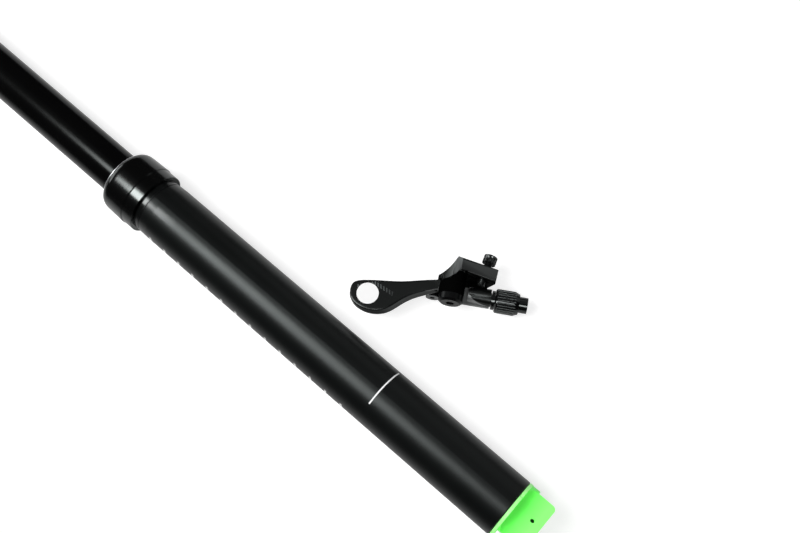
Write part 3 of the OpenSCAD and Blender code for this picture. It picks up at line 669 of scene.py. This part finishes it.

# %% [markdown]
# ## The remote's body
# The mount block is milled from bar, and its edges were tumbled before it was anodised. A chamfer
# modelled on each edge would do, but one small bevel on all but the shortest edges of a copy is enough.
# The boss round the pivot bolt is dull like the paddle's hub, so its mask follows the inner edge of the
# flank: that edge bends three times, and the highest of three straight lines, capped by a level one,
# gives the same bends. The other masks paint light and shade into the finish. The flank is painted
# lighter at its top as a painted highlight and darkens downwards as painted shade. The plate's top is
# painted a lighter grey as a painted sheen, and its far rim is duller than the plate as painted shade.
# The arm and the hollow under the plate are dulled as painted shade, and the web below the arm is
# painted lighter as a painted highlight.

# %% Body
def body_finish():
    flank_end = 0.00285
    arm_from = 0.0075
    web_from = 0.0058
    arm_side = 0.0125
    plate_from = 0.0195
    hollow_to = 0.0193
    bend_x = 0.0006
    bend_y = 0.0133
    low_x = -0.0021
    low_y = 0.0115
    level_y = 0.0156
    boss_gap = 0.0002
    boss_x = 0.0003
    boss_half = 0.0059
    look = Finish("block_black")
    along, side, height = remote_axes(look)
    steep = bend_y + 1.53 * (along - bend_x)
    middle = bend_y + 0.667 * (along - bend_x)
    shallow = low_y + 0.33 * (along - low_x)
    inner_edge = look.least(look.most(steep, look.most(middle, shallow)), level_y)
    boss = (side < inner_edge - boss_gap) * (abs(along - boss_x) < boss_half)
    near = side < arm_side
    # The web below the arm is painted a lighter grey as a painted highlight.
    web = (along > web_from) * near * (height < 0.0130 - 0.386 * along)
    # The arm and the hollow under the plate are dulled with soot as painted shade.
    arm = (along > arm_from) * near * (1 - web)
    hollow = (along > web_from) * (side > arm_side) * (height < hollow_to)
    plate = (height > plate_from) * (along > flank_end)
    # The plate's far rim is dulled with soot as painted shade.
    rim = plate * (side > 0.0213 - 0.153 * along)
    # The flank is dulled towards its lower end as painted shade, and painted a lighter grey at its top
    # as a painted highlight.
    flank_painted_shade = look.ramp(along, -0.000895, -0.005632)
    flank_painted_highlight = look.ramp(along, -0.0015, 0.0010) * (along < flank_end)
    shade = look.most(look.most(0.65 * arm, 0.85 * hollow), look.most(0.9 * flank_painted_shade, 0.7 * rim))
    cloud = look.noise(45)
    grain = look.noise(7000, detail=1.0)
    black = look.blend(cloud, milled_dark, milled_light)
    # The plate's top is painted a lighter grey as a painted sheen.
    wear_and_painted_sheen = look.blend(plate, black, tone(0.025, 0.026, 0.026))
    # The top of the flank is painted a lighter grey as a painted highlight.
    wear_and_painted_sheen = look.blend(flank_painted_highlight, wear_and_painted_sheen, tone(0.12, 0.125, 0.125))
    return look.surface(
        dull=look.most(boss, shade),
        # The web's lighter grey is a painted highlight.
        Base_Color=look.blend(web, wear_and_painted_sheen, tone(0.22, 0.225, 0.225)),
        Roughness=0.25 + 0.05 * cloud + 0.17 * (along < arm_from) * (1 - plate),
        Normal=look.bump(grain, 0.000004, 0.3),
        Specular_IOR_Level=1.0,
        Specular_Tint=gloss_tint)


block_bevel = 0.00025
shortest_edge = 0.0009
bm = merged_copy("remote_body")
print("block edges", ease(bm, block_bevel, 2, lambda edge: edge.calc_length() > shortest_edge))
stand_in(bm, "mount_block", "remote_body", "remote_mount", body_finish())

# %% [markdown]
# ## The mount bolt
# The bolt's cap head is fluted so that fingers can start it, and the flutes break its shine into
# bright bars. An array of cutters could take them out, but the head's wall is already divided into
# narrow faces. So every second group of faces is inset and sunk, which leaves a land and a flute in
# turn.

# %% Fluted bolt
bolt_turn = math.radians(20.5)
bolt_axis = Vector((-math.sin(bolt_turn), math.cos(bolt_turn), 0))
bolt_side = bolt_axis.cross(Vector((0, 0, 1)))
flute_count = 12
flute_in = 0.0001
flute_deep = 0.00035
wall_from = 0.003
bm = merged_copy("remote_mount_bolt")
head_end = max(vert.co.dot(bolt_axis) for vert in bm.verts)
head_rim = [vert.co for vert in bm.verts if vert.co.dot(bolt_axis) > head_end - 0.00005]
head_middle = sum(head_rim, Vector()) / len(head_rim)
flutes = []
for face in bm.faces:
    out = face.calc_center_median() - head_middle
    out -= bolt_axis * out.dot(bolt_axis)
    turn = math.atan2(out.z, out.dot(bolt_side))
    on_wall = abs(face.normal.dot(bolt_axis)) < 0.1 and out.length > wall_from
    if on_wall and math.floor(turn / math.pi * flute_count) % 2:
        flutes.append(face)
bmesh.ops.inset_region(bm, faces=flutes, thickness=flute_in, depth=-flute_deep, use_even_offset=True)
print("flute faces", len(flutes))
stand_in(bm, "fluted_bolt", "remote_mount_bolt", "remote_mount", black_steel)

# %% [markdown]
# ## The wiper's ring
# A bright wire ring holds the wiper in the collar's mouth, and it shows as a thin light line at the
# collar's top. A torus would do, but the wire is flattened where it sits, so a short profile is
# spun round the post's axis.

# %% Wiper ring
ring_steps = 96
profile = [(-0.17620, 0.01428), (-0.17655, 0.01424), (-0.17676, 0.01438), (-0.17676, 0.01456),
           (-0.17655, 0.01468), (-0.17620, 0.01466)]
bm = bmesh.new()
verts = [bm.verts.new((x, 0, radius)) for x, radius in profile]
edges = [bm.edges.new(pair) for pair in zip(verts, verts[1:] + verts[:1])]
bmesh.ops.spin(bm, geom=verts + edges, cent=(0, 0, 0), axis=(1, 0, 0), angle=2 * math.pi,
               steps=ring_steps, use_merge=True)
bmesh.ops.remove_doubles(bm, verts=bm.verts, dist=weld)
bmesh.ops.recalc_face_normals(bm, faces=bm.faces)
ring = new_piece("wiper_ring", bm)
ring.data.materials.append(bare_alloy)
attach(ring, "outer_tube")
print("wiper ring with", len(ring.data.polygons), "faces")
